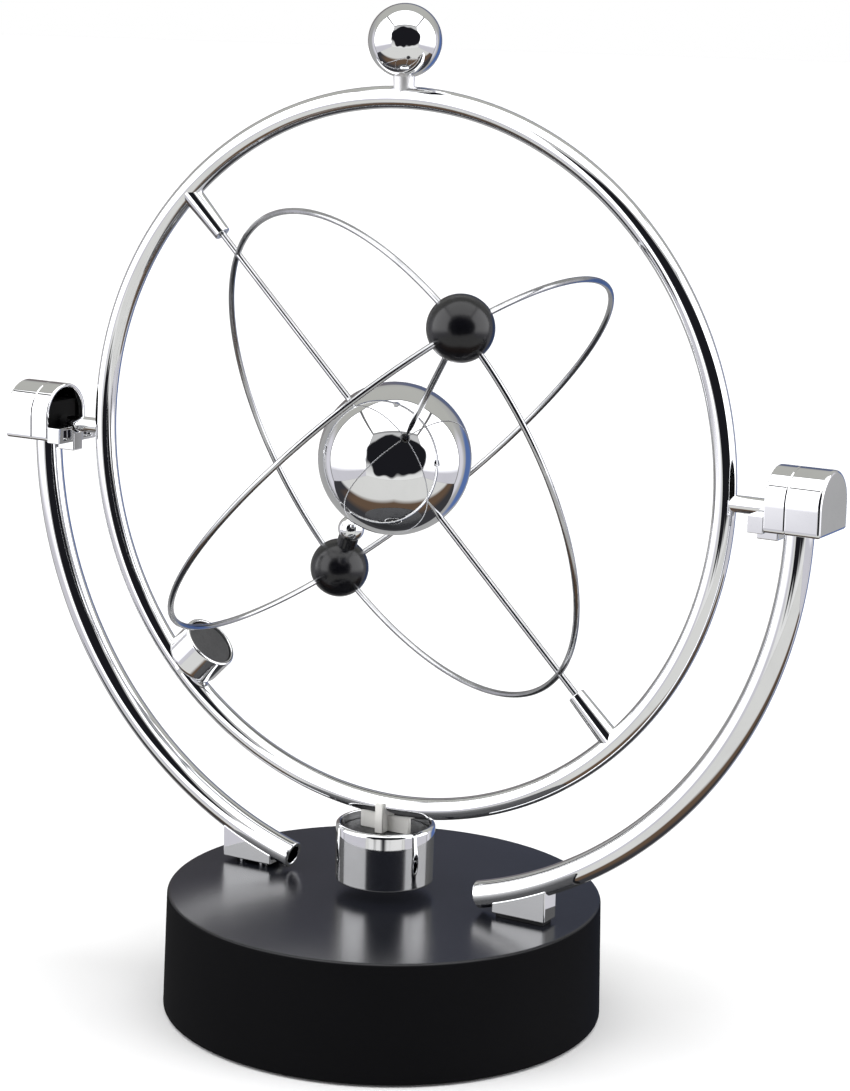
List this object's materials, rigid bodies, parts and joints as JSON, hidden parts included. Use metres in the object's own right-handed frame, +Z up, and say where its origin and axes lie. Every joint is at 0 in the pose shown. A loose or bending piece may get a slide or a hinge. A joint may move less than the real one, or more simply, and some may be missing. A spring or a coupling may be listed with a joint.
{
  "type": "kinetic desk toy",
  "caption": "Desk pendulum: a ring with a magnet cup swings between curved arms on a round battery base, and a wire rotor with balls spins inside it on a slanted axle.",
  "frame": {"origin": "middle of the underside of the feet, on the base's axis", "axes": "+Z up, +X along the ring's pivots towards the right arm, +Y away from the viewer"},
  "size_m": [0.2292, 0.135, 0.2507],
  "materials": {
    "base_plastic": "satin black moulded plastic, faintly sheened on top",
    "tray_plastic": "plain black moulded plastic",
    "screw_steel": "zinc-plated screws",
    "foot_rubber": "soft black rubber",
    "cell_jacket": "printed plastic jacket without lettering",
    "contact_brass": "nickel-plated spring metal",
    "board_laminate": "green solder mask on laminate",
    "component_black": "moulded component bodies",
    "bobbin_nylon": "natural nylon",
    "coil_copper": "enamelled copper wire",
    "iron": "soft iron core",
    "chrome": "bright chrome plating",
    "bearing_nylon": "black nylon",
    "magnet_dark": "dark sintered magnet",
    "wire_steel": "polished steel wire",
    "ball_black": "satin black plastic"
  },
  "bodies": {
    "stand": {"base_shell": "base_plastic", "bottom_plate": "base_plastic", "battery_hatch": "base_plastic", "battery_tray": "tray_plastic", "hatch_screw": "screw_steel", "plate_screws": "screw_steel", "board_screws": "screw_steel", "arm_screws": "screw_steel", "rubber_feet": "foot_rubber", "battery_1": "cell_jacket", "battery_2": "cell_jacket", "battery_3": "cell_jacket", "battery_4": "cell_jacket", "spring_contacts": "contact_brass", "button_contacts": "contact_brass", "circuit_board": "board_laminate", "board_components": "component_black", "coil_bobbin": "bobbin_nylon", "coil_winding": "coil_copper", "coil_core": "iron", "left_arm": "chrome", "right_arm": "chrome", "left_arm_foot": "chrome", "right_arm_foot": "chrome", "left_bearing_hood": "chrome", "right_bearing_hood": "chrome", "left_bearing_tongue": "chrome", "right_bearing_tongue": "chrome", "left_bearing_block": "bearing_nylon", "right_bearing_block": "bearing_nylon"},
    "ring": {"outer_ring": "chrome", "top_ball": "chrome", "top_ball_stub": "chrome", "left_pivot": "chrome", "right_pivot": "chrome", "magnet_cup": "chrome", "magnet_bracket": "chrome", "pendulum_magnet": "magnet_dark", "side_magnet_cup": "chrome", "side_magnet": "magnet_dark", "upper_axle_sleeve": "chrome", "lower_axle_sleeve": "chrome"},
    "rotor": {"axle": "wire_steel", "center_sphere": "chrome", "orbit_hoop_front": "wire_steel", "orbit_hoop_back": "wire_steel", "polar_hoop_upper": "wire_steel", "polar_hoop_lower": "wire_steel", "front_rod": "wire_steel", "front_ball_inner_half": "ball_black", "front_ball_outer_half": "ball_black", "rear_ball_inner_half": "ball_black", "rear_ball_outer_half": "ball_black", "front_ball_magnet": "magnet_dark", "rear_ball_magnet": "magnet_dark", "moon_ball": "chrome"}
  },
  "joints": [
    {"name": "ring_swing", "type": "hinge", "parent": "stand", "child": "ring", "pos_m": [0, 0, 0.1394], "axis": [1, 0, 0], "range_deg": [-167, 167]},
    {"name": "rotor_spin", "type": "hinge", "parent": "ring", "child": "rotor", "pos_m": [0, 0, 0.1403], "axis": [0.7071, 0, -0.7071], "continuous": true}
  ]
}
